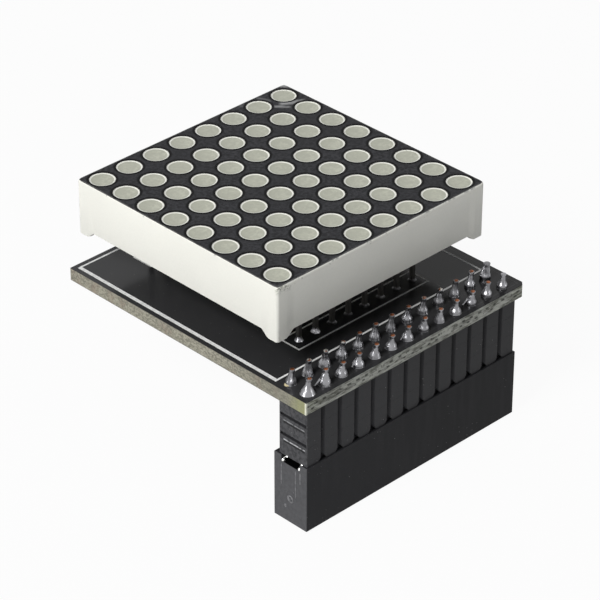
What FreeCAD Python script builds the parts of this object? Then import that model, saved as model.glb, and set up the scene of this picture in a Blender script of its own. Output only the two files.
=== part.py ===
import FreeCAD, Part
import math
import os

import Sketcher

# LED dot matrix module: an 8x8 display with a dark face stands on its pins over a small
# carrier board. A 2x13 socket hangs under the board's front edge on three ribbed insulators.
# Millimetres. The origin is the centre of the socket's mating face, X runs along the socket,
# Y from the socket towards the back of the display, and Z points up.

SIZES = (
    # pins and contacts of the header
    ("pin_pitch", 2.54),
    ("header_columns", 13),
    ("header_rows", 2),
    ("pin_width", 0.45),
    ("pin_clearance", 0.02),
    ("front_tip_height", 1.55),
    ("back_tip_height", 1.85),
    ("contact_clearance", 0.1),
    ("contact_beam", 0.22),
    ("contact_root", 0.7),
    ("contact_recess", 1.2),
    # socket
    ("socket_end", 1.31),
    ("socket_side", 1.23),
    ("socket_height", 8.5),
    ("socket_bevel", 0.2),
    ("well_width", 1.2),
    ("well_depth", 6.4),
    ("mouth_flare", 0.2),
    ("mouth_depth", 0.3),
    ("channel_wall", 1.05),
    ("channel_depth", 0.75),
    # ribbed insulators
    ("spacer_end_inset", 0.225),
    ("spacer_front_inset", 0.15),
    ("spacer_back_inset", 0.6),
    ("spacer_bottom_height", 2.5),
    ("spacer_middle_height", 2.5),
    ("spacer_top_height", 2.1),
    ("groove_width", 0.64),
    ("groove_depth", 0.42),
    ("rib_notch_width", 1.3),
    ("rib_notch_height", 0.8),
    ("end_slot_margin", 0.15),
    ("end_slot_height", 0.4),
    ("end_slot_depth", 0.4),
    # carrier board
    ("board_thickness", 1.6),
    ("board_left_margin", 1.51),
    ("board_right_margin", 2.41),
    ("board_front_margin", 1.33),
    ("board_back_margin", 4.75),
    ("board_corner_cut", 0.45),
    # solder
    ("solder_sides", 8),
    ("header_solder_radius", 0.7),
    ("header_solder_neck", 0.4),
    ("header_solder_height", 1.15),
    ("display_solder_radius", 0.72),
    ("display_solder_neck", 0.44),
    ("display_solder_height", 0.85),
    # display
    ("display_shift", 0.2),
    ("display_distance", 18.75),
    ("display_gap", 4.6),
    ("display_height", 6.9),
    ("face_thickness", 0.4),
    ("wall_thickness", 0.5),
    ("foot_height", 0.8),
    ("foot_width", 1.5),
    ("foot_slope", 1.0),
    ("dot_pitch", 4.0),
    ("dot_count", 8),
    ("dot_radius", 1.5),
    ("dot_sides", 16),
    ("resin_recess", 0.2),
    ("back_resin_thickness", 1.0),
    ("die_board_thickness", 0.8),
    ("display_pin_width", 0.5),
    ("display_pin_count", 8),
    ("display_row_gap", 24.0),
    ("display_pin_tail", 1.1),
    # parts under the board
    ("chip_end", 0.715),
    ("chip_width", 7.5),
    ("chip_height", 2.3),
    ("chip_standoff", 0.15),
    ("chip_bevel", 0.18),
    ("lead_pitch", 1.27),
    ("lead_count", 12),
    ("lead_width", 0.42),
    ("lead_thickness", 0.25),
    ("lead_reach", 1.4),
    ("small_part_length", 2.0),
    ("small_part_width", 1.25),
    ("small_part_cap", 0.4),
    ("small_part_step", 0.05),
    ("capacitor_height", 0.9),
    ("resistor_height", 0.55),
    ("small_part_offset", 8.65),
    ("small_part_gap", 6.0),
)


class Size:
    """A length or count that is a number here and an expression for the sheet's cells."""

    def __init__(self, value, text):
        self.value = value
        self.text = text

    def join(self, sign, other, value):
        return Size(value, f"({self.text} {sign} {as_size(other).text})")

    def __add__(self, other):
        return self.join("+", other, self.value + as_size(other).value)

    def __sub__(self, other):
        return self.join("-", other, self.value - as_size(other).value)

    def __mul__(self, other):
        return self.join("*", other, self.value * as_size(other).value)

    def __truediv__(self, other):
        return self.join("/", other, self.value / as_size(other).value)

    def __neg__(self):
        return Size(-self.value, f"(-1 * {self.text})")


def as_size(value):
    return value if isinstance(value, Size) else Size(float(value), repr(float(value)))


class Sizes:
    """The spreadsheet of driving dimensions, read by their aliases."""

    def __init__(self, doc):
        sheet = doc.addObject("Spreadsheet::Sheet", "Sizes")
        for row, (name, value) in enumerate(SIZES, start=1):
            sheet.set(f"A{row}", name)
            sheet.set(f"B{row}", str(value))
            sheet.setAlias(f"B{row}", name)
            setattr(self, name, Size(value, f"Sizes.{name}"))


doc = FreeCAD.newDocument("DotMatrixModule")
size = Sizes(doc)
doc.recompute()

PARTS = []
CUTS = []

# two lengths this close are the same, and so is a normal this small beside a flat one
FLAT = 1e-4

# heights of the stack, from the mating face up
spacer_middle_floor = size.socket_height + size.spacer_bottom_height
spacer_top_floor = spacer_middle_floor + size.spacer_middle_height
board_floor = spacer_top_floor + size.spacer_top_height
board_top = board_floor + size.board_thickness
display_floor = board_top + size.display_gap

# the header, about its middle
pin_hole = size.pin_width + size.pin_clearance * 2
first_column = size.pin_pitch * (size.header_columns - 1) / -2
front_row = size.pin_pitch * (size.header_rows - 1) / -2
back_row = -front_row
socket_length = (size.socket_end - first_column) * 2
socket_width = (size.socket_side - front_row) * 2
spacer_length = socket_length - size.spacer_end_inset * 2
spacer_front = socket_width / -2 + size.spacer_front_inset
spacer_back = socket_width / 2 - size.spacer_back_inset
spacer_width = spacer_back - spacer_front
spacer_middle = (spacer_front + spacer_back) / 2

# the display, about its own middle
display_size = size.dot_pitch * size.dot_count
display_pin_hole = size.display_pin_width + size.pin_clearance * 2
first_display_pin = size.pin_pitch * (size.display_pin_count - 1) / -2
display_front_row = size.display_row_gap / -2
display_back_row = size.display_row_gap / 2
back_resin_floor = size.foot_height + size.resin_recess
die_board_floor = back_resin_floor + size.back_resin_thickness
cell_resin_floor = die_board_floor + size.die_board_thickness


# Features

def new_body(label, x=0, y=0, z=0):
    """A sub-part in its own frame, placed at x, y, z."""
    body = doc.addObject("PartDesign::Body", label)
    body.Label = label
    for axis, place in (("x", x), ("y", y), ("z", z)):
        body.setExpression(f"Placement.Base.{axis}", as_size(place).text)
    PARTS.append(body)
    return body


def origin_plane(body, role):
    """The body's origin plane of that role, such as XY_Plane."""
    return [plane for plane in body.Origin.OriginFeatures if plane.Role == role][0]


def new_sketch(body, role, offset=0):
    """A sketch on one of the body's origin planes, moved along the plane's normal."""
    sketch = body.newObject("Sketcher::SketchObject", "Sketch")
    sketch.AttachmentSupport = [(origin_plane(body, role), "")]
    sketch.MapMode = "FlatFace"
    sketch.setExpression("AttachmentOffset.Base.z", as_size(offset).text)
    return sketch


def fix_point(sketch, geometry, point, x, y):
    """Hold a point of the sketch at x, y from its origin."""
    for kind, place in (("DistanceX", as_size(x)), ("DistanceY", as_size(y))):
        number = sketch.addConstraint(
            Sketcher.Constraint(kind, -1, 1, geometry, point, place.value)
        )
        sketch.setExpression(f"Constraints[{number}]", place.text)


def draw_polygon(sketch, corners):
    """A closed outline through the corners, each held by two dimensions."""
    corners = [(as_size(x), as_size(y)) for x, y in corners]
    first = sketch.GeometryCount
    count = len(corners)
    for i in range(count):
        (x0, y0), (x1, y1) = corners[i], corners[(i + 1) % count]
        start = FreeCAD.Vector(x0.value, y0.value, 0)
        end = FreeCAD.Vector(x1.value, y1.value, 0)
        sketch.addGeometry(Part.LineSegment(start, end))
    for i in range(count):
        following = first + (i + 1) % count
        sketch.addConstraint(Sketcher.Constraint("Coincident", first + i, 2, following, 1))
    for i, (x, y) in enumerate(corners):
        fix_point(sketch, first + i, 1, x, y)


def draw_rectangle(sketch, width, depth, x=0, y=0):
    """A rectangle about x, y."""
    x, y = as_size(x), as_size(y)
    half_width, half_depth = as_size(width) / 2, as_size(depth) / 2
    draw_polygon(sketch, [
        (x - half_width, y - half_depth),
        (x + half_width, y - half_depth),
        (x + half_width, y + half_depth),
        (x - half_width, y + half_depth),
    ])


def draw_regular(sketch, sides, radius, x, y):
    """A regular outline about x, y whose sides lie at the radius."""
    half_step = math.pi / sides.value
    corner = radius / math.cos(half_step)
    angles = [half_step * (2 * i + 1) for i in range(int(sides.value))]
    draw_polygon(sketch, [(x + corner * math.cos(a), y + corner * math.sin(a)) for a in angles])


def pad(body, sketch, length, middle=False, down=False):
    """Material raised from the sketch, lowered from it, or half to each side."""
    feature = body.newObject("PartDesign::Pad", "Pad")
    feature.Profile = sketch
    feature.Midplane = middle
    feature.Reversed = down
    feature.setExpression("Length", as_size(length).text)
    doc.recompute()
    return feature


def pocket(body, sketch, depth, middle=False, up=False):
    """Material cut below the sketch, above it, or half on each side."""
    before = body.Tip
    feature = body.newObject("PartDesign::Pocket", "Pocket")
    feature.Profile = sketch
    feature.Midplane = middle
    feature.Reversed = up
    feature.setExpression("Length", as_size(depth).text)
    doc.recompute()
    CUTS.append((body.Label, before, feature))
    return feature


def taper(body, block, inset, height, down=False):
    """The block's upright sides leaned in by the inset over its height."""
    walls = [
        f"Face{i}" for i, face in enumerate(block.Shape.Faces, start=1)
        if abs(face.normalAt(0, 0).z) < FLAT
    ]
    feature = body.newObject("PartDesign::Draft", "Draft")
    feature.Base = (block, walls)
    feature.NeutralPlane = (origin_plane(body, "XY_Plane"), [""])
    feature.Reversed = down
    feature.setExpression("Angle", f"atan({(inset / height).text})")
    doc.recompute()
    CUTS.append((body.Label, block, feature))
    return feature


def bevel_floor(body, width):
    """A bevel on every edge of the body's lowest face."""
    before = body.Tip
    edges = [
        f"Edge{i}" for i, edge in enumerate(before.Shape.Edges, start=1)
        if all(abs(corner.Z) < FLAT for corner in edge.Vertexes)
    ]
    feature = body.newObject("PartDesign::Chamfer", "Chamfer")
    feature.Base = (before, edges)
    feature.setExpression("Size", width.text)
    doc.recompute()
    CUTS.append((body.Label, before, feature))
    return feature


def countersink(body, x, y, width, depth, end_width):
    """A square recess in the lowest face about x, y that narrows to end_width at its depth."""
    before = body.Tip
    feature = body.newObject("PartDesign::SubtractiveWedge", "Countersink")
    feature.AttachmentSupport = [(origin_plane(body, "XZ_Plane"), "")]
    feature.MapMode = "FlatFace"
    limits = {
        "Xmin": x - width / 2, "Xmax": x + width / 2,
        "X2min": x - end_width / 2, "X2max": x + end_width / 2,
        "Ymin": as_size(0), "Ymax": depth,
        "Zmin": -y - width / 2, "Zmax": -y + width / 2,
        "Z2min": -y - end_width / 2, "Z2max": -y + end_width / 2,
    }
    for name, limit in limits.items():
        feature.setExpression(name, limit.text)
    doc.recompute()
    CUTS.append((body.Label, before, feature))
    return feature


def repeat(body, features, sketch, pitch, count, pitch_across=None, count_across=None,
           axis="H_Axis"):
    """Copies along the sketch's axis, and up it where asked, of the features, or of the
    whole body where there are none."""
    pattern = body.newObject("PartDesign::LinearPattern", "Pattern")
    if features:
        pattern.Originals = features
    else:
        pattern.TransformMode = "Whole shape"
    pattern.Direction = (sketch, [axis])
    pattern.setExpression("Length", (pitch * (count - 1)).text)
    pattern.setExpression("Occurrences", count.text)
    if count_across is not None:
        pattern.Direction2 = (sketch, ["V_Axis"])
        pattern.setExpression("Length2", (pitch_across * (count_across - 1)).text)
        pattern.setExpression("Occurrences2", count_across.text)
    body.Tip = pattern
    doc.recompute()


# Header

def make_socket():
    """The housing: wells open downwards with tapered mouths, and a channel along the top."""
    body = new_body("socket_housing")
    outline = new_sketch(body, "XY_Plane")
    draw_rectangle(outline, socket_length, socket_width)
    pad(body, outline, size.socket_height)
    bevel_floor(body, size.socket_bevel)

    channel = new_sketch(body, "XY_Plane", size.socket_height)
    draw_rectangle(channel, socket_length * 2, socket_width - size.channel_wall * 2)
    pocket(body, channel, size.channel_depth)

    mouth = countersink(
        body, first_column, front_row,
        size.well_width + size.mouth_flare * 2, size.mouth_depth, size.well_width,
    )
    throat = new_sketch(body, "XY_Plane", size.mouth_depth)
    draw_rectangle(throat, size.well_width, size.well_width, first_column, front_row)
    well = pocket(body, throat, size.well_depth - size.mouth_depth, up=True)
    tail_hole = new_sketch(body, "XY_Plane", size.well_depth)
    draw_rectangle(tail_hole, pin_hole, pin_hole, first_column, front_row)
    tail = pocket(body, tail_hole, size.socket_height - size.well_depth, up=True)
    repeat(
        body, [mouth, well, tail], throat,
        size.pin_pitch, size.header_columns, size.pin_pitch, size.header_rows,
    )


def make_contacts(label, row, tip_height):
    """One row of contacts, each a fork in its well that runs up into a square pin."""
    body = new_body(label, y=row)
    pin = size.pin_width / 2
    outer = size.well_width / 2 - size.contact_clearance
    inner = outer - size.contact_beam
    shoulder = size.well_depth
    tip = board_top + tip_height
    profile = new_sketch(body, "XZ_Plane")
    half = [
        (inner, shoulder - size.contact_root),
        (inner, size.contact_recess),
        (outer, size.contact_recess),
        (outer, shoulder),
        (pin, shoulder),
        (pin, tip),
    ]
    right = [(first_column + x, z) for x, z in half]
    left = [(first_column - x, z) for x, z in reversed(half)]
    draw_polygon(profile, right + left)
    contact = pad(body, profile, size.pin_width, middle=True)
    repeat(body, [contact], profile, size.pin_pitch, size.header_columns)


def make_spacer(label, floor, height, end_slots, rib_notches):
    """A ribbed insulator with a square hole for each pin."""
    body = new_body(label, z=floor)
    outline = new_sketch(body, "XY_Plane")
    draw_rectangle(outline, spacer_length, spacer_width, y=spacer_middle)
    pad(body, outline, height)

    # grooves between the pins, on both long sides
    first_groove = first_column + size.pin_pitch / 2
    grooves = new_sketch(body, "XY_Plane", height)
    for side, inward in ((spacer_front, 1), (spacer_back, -1)):
        draw_polygon(grooves, [
            (first_groove - size.groove_width / 2, side),
            (first_groove + size.groove_width / 2, side),
            (first_groove, side + size.groove_depth * inward),
        ])
    cut = pocket(body, grooves, height)
    repeat(body, [cut], grooves, size.pin_pitch, size.header_columns - 1)

    holes = new_sketch(body, "XY_Plane", height)
    draw_rectangle(holes, pin_hole, pin_hole, first_column, front_row)
    hole = pocket(body, holes, height)
    repeat(
        body, [hole], holes,
        size.pin_pitch, size.header_columns, size.pin_pitch, size.header_rows,
    )

    # a slot under each end, where one insulator stands on the next
    if end_slots:
        slots = new_sketch(body, "XY_Plane")
        for sign in (-1, 1):
            draw_rectangle(
                slots, size.end_slot_depth * 2, spacer_width - size.end_slot_margin * 2,
                spacer_length / 2 * sign, spacer_middle,
            )
        pocket(body, slots, size.end_slot_height, up=True)

    # the ribs' lower corners are cut back beside each groove
    if rib_notches:
        for side, at_back in ((spacer_front, False), (spacer_back, True)):
            notch = new_sketch(body, "XZ_Plane", -side)
            draw_polygon(notch, [
                (first_groove - size.rib_notch_width / 2, 0),
                (first_groove + size.rib_notch_width / 2, 0),
                (first_groove, size.rib_notch_height),
            ])
            cut = pocket(body, notch, size.groove_depth, up=at_back)
            repeat(body, [cut], notch, size.pin_pitch, size.header_columns - 1)


# Carrier board

def make_board():
    """The carrier board with its pin holes and one cut corner."""
    body = new_body("carrier_board", z=board_floor)
    left = first_column - size.board_left_margin
    right = size.board_right_margin - first_column
    front = front_row - size.board_front_margin
    back = size.display_distance + display_back_row + size.board_back_margin
    cut = size.board_corner_cut
    outline = new_sketch(body, "XY_Plane")
    draw_polygon(outline, [
        (left, front),
        (right - cut, front),
        (right, front + cut),
        (right, back),
        (left, back),
    ])
    pad(body, outline, size.board_thickness)

    header_holes = new_sketch(body, "XY_Plane", size.board_thickness)
    draw_rectangle(header_holes, pin_hole, pin_hole, first_column, front_row)
    hole = pocket(body, header_holes, size.board_thickness)
    repeat(
        body, [hole], header_holes,
        size.pin_pitch, size.header_columns, size.pin_pitch, size.header_rows,
    )

    display_holes = new_sketch(body, "XY_Plane", size.board_thickness)
    for row in (display_front_row, display_back_row):
        draw_rectangle(
            display_holes, display_pin_hole, display_pin_hole,
            first_display_pin + size.display_shift, row + size.display_distance,
        )
    hole = pocket(body, display_holes, size.board_thickness)
    repeat(body, [hole], display_holes, size.pin_pitch, size.display_pin_count)


def make_solder(label, place, first, pin, radius, neck, height, count, down=False):
    """A row of joints that narrow, up or down from the board, round the pins they hold."""
    body = new_body(label, *place)
    base = new_sketch(body, "XY_Plane")
    draw_regular(base, size.solder_sides, radius, first, as_size(0))
    block = pad(body, base, height, down=down)
    taper(body, block, radius - neck, height, down)
    hole = new_sketch(body, "XY_Plane")
    draw_rectangle(hole, pin, pin, first)
    pocket(body, hole, height, up=not down)
    repeat(body, [], base, size.pin_pitch, count)


# Display

def make_case():
    """The moulded case: a face with round cells, four walls and a foot at each corner."""
    body = new_body(
        "display_case", size.display_shift, size.display_distance, display_floor,
    )
    outline = new_sketch(body, "XY_Plane")
    draw_rectangle(outline, display_size, display_size)
    pad(body, outline, size.display_height)

    cavity_width = display_size - size.wall_thickness * 2
    cavity = new_sketch(body, "XY_Plane")
    draw_rectangle(cavity, cavity_width, cavity_width)
    pocket(body, cavity, size.display_height - size.face_thickness, up=True)

    # the walls stop short between the feet
    low = display_size / 2 - size.foot_width
    high = low - size.foot_slope
    for role in ("XZ_Plane", "YZ_Plane"):
        gap = new_sketch(body, role)
        draw_polygon(gap, [
            (-low, 0),
            (low, 0),
            (high, size.foot_height),
            (-high, size.foot_height),
        ])
        pocket(body, gap, display_size * 2, middle=True)

    # each cell is drawn with straight sides, because there are so many of them
    first_dot = size.dot_pitch * (size.dot_count - 1) / -2
    cell = new_sketch(body, "XY_Plane", size.display_height)
    draw_regular(cell, size.dot_sides, size.dot_radius, first_dot, first_dot)
    hole = pocket(body, cell, size.face_thickness)
    repeat(
        body, [hole], cell,
        size.dot_pitch, size.dot_count, size.dot_pitch, size.dot_count,
    )


def make_display_inside():
    """Resin behind the cells, the die board, and the resin that seals the back."""
    width = display_size - size.wall_thickness * 2
    cell_top = size.display_height - size.face_thickness
    for label, floor, top in (
        ("cell_resin", cell_resin_floor, cell_top),
        ("die_board", die_board_floor, cell_resin_floor),
        ("back_resin", back_resin_floor, die_board_floor),
    ):
        body = new_body(
            label, size.display_shift, size.display_distance, display_floor + floor,
        )
        outline = new_sketch(body, "XY_Plane")
        draw_rectangle(outline, width, width)
        pad(body, outline, top - floor)

    # the pins come out through the back resin
    holes = new_sketch(body, "XY_Plane")
    for row in (display_front_row, display_back_row):
        draw_rectangle(holes, display_pin_hole, display_pin_hole, first_display_pin, row)
    hole = pocket(body, holes, size.back_resin_thickness, up=True)
    repeat(body, [hole], holes, size.pin_pitch, size.display_pin_count)


def make_display_pins(label, row):
    """A row of pins from the die board down through the carrier board."""
    floor = board_floor - size.display_pin_tail
    body = new_body(label, size.display_shift, size.display_distance + row, floor)
    outline = new_sketch(body, "XY_Plane")
    draw_rectangle(outline, size.display_pin_width, size.display_pin_width, first_display_pin)
    pin = pad(body, outline, display_floor + die_board_floor - floor)
    repeat(body, [pin], outline, size.pin_pitch, size.display_pin_count)


# Parts under the board

def make_driver():
    """The driver chip, its back to the board, and its two rows of bent leads."""
    first_lead = size.lead_pitch * (size.lead_count - 1) / -2
    top = board_floor - size.chip_standoff
    body = new_body("driver_chip", size.display_shift, size.display_distance, top)
    half = size.chip_width / 2
    edge = half - size.chip_bevel
    parting = size.chip_height / -2
    profile = new_sketch(body, "YZ_Plane")
    draw_polygon(profile, [
        (-edge, 0),
        (-half, parting),
        (-edge, -size.chip_height),
        (edge, -size.chip_height),
        (half, parting),
        (edge, 0),
    ])
    pad(body, profile, (size.chip_end - first_lead) * 2, middle=True)

    leads = new_body(
        "driver_leads", size.display_shift + first_lead, size.display_distance, top,
    )
    profile = new_sketch(leads, "YZ_Plane")
    foot_top = size.chip_standoff
    knee = half + size.lead_thickness
    toe = half + size.lead_reach
    for sign in (-1, 1):
        draw_polygon(profile, [
            (half * sign, parting),
            (knee * sign, parting),
            (knee * sign, foot_top - size.lead_thickness),
            (toe * sign, foot_top - size.lead_thickness),
            (toe * sign, foot_top),
            (half * sign, foot_top),
        ])
    lead = pad(leads, profile, size.lead_width, middle=True)
    repeat(leads, [lead], profile, size.lead_pitch, size.lead_count, axis="N_Axis")


def make_small_part(label, shift, height):
    """A two-ended part whose metal caps stand a little proud of its body."""
    body = new_body(
        label, size.display_shift + shift, size.display_distance + size.small_part_offset,
        board_floor,
    )
    end = size.small_part_length / 2
    inner = end - size.small_part_cap
    step = size.small_part_step
    profile = new_sketch(body, "XZ_Plane")
    draw_polygon(profile, [
        (-end, 0), (-inner, 0), (-inner, -step), (inner, -step), (inner, 0), (end, 0),
        (end, -height), (inner, -height), (inner, step - height),
        (-inner, step - height), (-inner, -height), (-end, -height),
    ])
    pad(body, profile, size.small_part_width, middle=True)


# Writing the files

def check_and_write():
    """Stop on any failed object, shape or cut, then write one file for each sub-part."""
    doc.recompute()
    for each in doc.Objects:
        if "Invalid" in each.State or "Error" in each.State:
            raise RuntimeError(f"{each.Label} is {each.State}")
    for label, before, after in CUTS:
        if before is None or after.Shape.Volume > before.Shape.Volume - FLAT:
            raise RuntimeError(f"a cut in {label} took nothing away")
    os.makedirs("parts", exist_ok=True)
    for body in PARTS:
        shape = body.Shape
        if shape.isNull() or not shape.isValid():
            raise RuntimeError(f"{body.Label} has no valid shape")
        shape.exportStep(os.path.join("parts", f"{body.Label}.step"))
        print(f"{body.Label}: {len(shape.Solids)} solids, {shape.Volume:.3f} cubic mm")


make_socket()
make_contacts("contacts_front", front_row, size.front_tip_height)
make_contacts("contacts_back", back_row, size.back_tip_height)
make_spacer("spacer_bottom", size.socket_height, size.spacer_bottom_height, False, True)
make_spacer("spacer_middle", spacer_middle_floor, size.spacer_middle_height, True, False)
make_spacer("spacer_top", spacer_top_floor, size.spacer_top_height, True, False)
make_board()
for side, header_row in (("front", front_row), ("back", back_row)):
    make_solder(
        f"header_solder_{side}", (0, header_row, board_top), first_column, pin_hole,
        size.header_solder_radius, size.header_solder_neck, size.header_solder_height,
        size.header_columns,
    )
for side, display_row in (("front", display_front_row), ("back", display_back_row)):
    make_solder(
        f"display_solder_{side}",
        (size.display_shift, size.display_distance + display_row, board_floor),
        first_display_pin, display_pin_hole,
        size.display_solder_radius, size.display_solder_neck, size.display_solder_height,
        size.display_pin_count, down=True,
    )
    make_display_pins(f"display_pins_{side}", display_row)
make_case()
make_display_inside()
make_driver()
make_small_part("capacitor", -size.small_part_gap / 2, size.capacitor_height)
make_small_part("resistor", size.small_part_gap / 2, size.resistor_height)
check_and_write()
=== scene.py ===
import math
from functools import cached_property

import bmesh
import bpy
import numpy as np
from bpy.props import FloatProperty, FloatVectorProperty, IntProperty, PointerProperty
from mathutils import Matrix, Vector


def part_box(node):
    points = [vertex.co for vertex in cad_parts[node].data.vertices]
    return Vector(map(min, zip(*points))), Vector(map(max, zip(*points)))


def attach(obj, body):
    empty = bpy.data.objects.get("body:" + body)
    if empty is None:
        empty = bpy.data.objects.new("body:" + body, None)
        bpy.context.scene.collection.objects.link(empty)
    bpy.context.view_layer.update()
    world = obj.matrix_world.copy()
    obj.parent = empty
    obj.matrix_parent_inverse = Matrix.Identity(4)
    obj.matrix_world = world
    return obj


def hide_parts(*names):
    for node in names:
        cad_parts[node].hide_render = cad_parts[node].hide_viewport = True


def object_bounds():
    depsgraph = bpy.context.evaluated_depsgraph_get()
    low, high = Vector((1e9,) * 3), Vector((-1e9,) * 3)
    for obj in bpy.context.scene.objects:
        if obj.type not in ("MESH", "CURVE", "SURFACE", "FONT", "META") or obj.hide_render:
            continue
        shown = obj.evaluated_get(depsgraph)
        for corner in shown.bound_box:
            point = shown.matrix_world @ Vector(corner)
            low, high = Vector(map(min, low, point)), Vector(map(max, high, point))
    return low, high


bl_info = {
    "name": "LED dot matrix module",
    "version": (1, 0, 0),
    "blender": (4, 5, 0),
    "location": "View3D > Sidebar > Dot Matrix",
    "description": "Dresses the framed solids of an LED dot matrix module",
    "category": "Object",
}

# metres, in the frame of the solids: X along the socket, Y towards the display, Z up
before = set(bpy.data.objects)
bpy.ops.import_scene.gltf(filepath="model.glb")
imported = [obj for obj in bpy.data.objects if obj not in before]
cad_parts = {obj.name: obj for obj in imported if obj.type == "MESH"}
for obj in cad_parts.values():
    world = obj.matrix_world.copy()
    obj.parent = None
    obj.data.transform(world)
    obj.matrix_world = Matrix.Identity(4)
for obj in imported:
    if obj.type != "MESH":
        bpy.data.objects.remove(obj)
SOLIDS_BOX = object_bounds()

MM = 0.001
BODY = "root"
ROWS = ("front", "back")

PIN_PITCH = 2.54 * MM
HEADER_PINS = 13
DISPLAY_PINS = 8
LEAD_PITCH = 1.27 * MM
LEADS_A_SIDE = 12

WELD = 1e-7
SOLID_WELD = 1e-6
SHARP_ANGLE = math.radians(38)
BEVEL_ANGLE = math.radians(35)
FLAT_ANGLE = math.radians(1)

# the corners of a square about the origin, in order round it
CORNERS = np.array([(-1, -1), (1, -1), (1, 1), (-1, 1)], float)
EVEN = (1, 1, 1)
GAMMA = 2.2


def srgb(red, green, blue):
    """A colour written from 0 to 255, as the linear light that a shader takes."""
    return tuple((part / 255) ** GAMMA for part in (red, green, blue))


def shade(tint, share):
    """The tint with its light multiplied by the share."""
    return tuple(min(part * share, 1) for part in tint)


WHITE = (1, 1, 1)
WORN = srgb(128, 128, 126)


# Settings

def colour(name, description, default):
    return FloatVectorProperty(
        name=name, description=description, subtype="COLOR", size=3, min=0, max=1, default=default,
    )


def length(name, description, millimetres):
    return FloatProperty(
        name=name, description=description, unit="LENGTH", default=millimetres * MM,
    )


class DisplaySettings(bpy.types.PropertyGroup):
    """The display's case, face and cells."""

    plastic: colour("Case", "Colour of the moulded case", srgb(238, 237, 228))
    ink: colour("Face", "Colour of the printed face", srgb(57, 57, 59))
    resin: colour("Cells", "Colour of the resin in the cells", srgb(194, 195, 178))
    pitch: length("Cell pitch", "Distance between cells", 4.0)
    cells: IntProperty(name="Cells a side", description="Cells along one side", default=8)
    cell_radius: length("Cell radius", "Radius of each hole in the printed face", 1.5)
    lip: length("Cell lip", "Width of the bare plastic round each cell", 0.09)
    wall: length("Wall", "Thickness of the outer wall", 0.5)
    edge: length("Edge", "Rounding of the outer edges", 0.22)
    recess: length("Recess", "Depth of the resin below the face", 0.11)


class BoardSettings(bpy.types.PropertyGroup):
    """The carrier board and what is printed on it."""

    mask: colour("Mask", "Colour of the solder mask", srgb(44, 44, 45))
    laminate: colour("Laminate", "Colour of the cut edge", srgb(150, 147, 133))
    legend: colour("Legend", "Colour of the printed lines", srgb(240, 240, 238))
    line: length("Outline width", "Width of the line round the display", 0.24)
    bold_line: length("Left line width", "Width of the outline on its left side", 0.46)
    thin_line: length("Box width", "Width of the lines round the pin rows", 0.2)
    film: length("Print thickness", "Height of the printed lines over the mask", 0.02)


class JointSettings(bpy.types.PropertyGroup):
    """Solder joints, contacts and pins."""

    solder: colour("Solder", "Colour of the solder", srgb(146, 146, 149))
    tin: colour("Tin", "Colour of the plated pins", srgb(196, 194, 188))
    copper: colour("Cut tips", "Colour of the cut ends of the pins", srgb(150, 96, 70))
    neck: length("Neck", "Radius of a joint where it meets its pin", 0.32)
    base: length("Base", "Mean radius of a header joint on the board", 0.64)
    seed: IntProperty(name="Seed", description="Start of the random differences", default=11)


class PlasticSettings(bpy.types.PropertyGroup):
    """The insulators, the socket and the parts under the board."""

    insulator: colour("Insulators", "Colour of the ribbed insulators", srgb(52, 52, 54))
    socket: colour("Socket", "Colour of the socket", srgb(46, 46, 48))
    chip: colour("Chip", "Colour of the driver chip", srgb(38, 38, 40))
    softness: length("Edges", "Rounding of the moulded edges", 0.06)


class StageSettings(bpy.types.PropertyGroup):
    """The floor, the lamps and the camera."""

    floor: colour("Floor", "Colour of the floor", srgb(212, 212, 212))
    key: FloatProperty(name="Key", description="Power of the key lamp", unit="POWER", default=6.4)
    sky: FloatProperty(name="Sky", description="Strength of the even light", default=0.205)
    lens: FloatProperty(
        name="Lens", description="Focal length", unit="CAMERA", default=182.09,
    )


# Shaders

class Value:
    """A node's output as a number: a sum written with it adds Math nodes."""

    def __init__(self, nodes, socket):
        self.nodes = nodes
        self.socket = socket

    def math(self, operation, *values):
        return self.nodes.node("ShaderNodeMath", {"operation": operation}, enumerate(values))

    def __add__(self, other):
        return self.math("ADD", self, other)

    def __sub__(self, other):
        return self.math("SUBTRACT", self, other)

    def __rsub__(self, other):
        return self.math("SUBTRACT", other, self)

    def __mul__(self, other):
        return self.math("MULTIPLY", self, other)

    def __truediv__(self, other):
        return self.math("DIVIDE", self, other)

    def __pow__(self, other):
        return self.math("POWER", self, other)

    def __abs__(self):
        return self.math("ABSOLUTE", self)

    __radd__ = __add__
    __rmul__ = __mul__

    def low(self, other):
        return self.math("MINIMUM", self, other)

    def high(self, other):
        return self.math("MAXIMUM", self, other)

    def offset(self, pitch, centre):
        """How far past the nearest of the points spaced by the pitch about the centre."""
        return self.math("FLOORED_MODULO", self - (centre - pitch / 2), pitch) - pitch / 2

    def step(self, start, end):
        """0 at start and 1 at end, smooth between them."""
        return self.nodes.node(
            "ShaderNodeMapRange", {"interpolation_type": "SMOOTHSTEP"},
            {"Value": self, "From Min": start, "From Max": end},
        )


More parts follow.
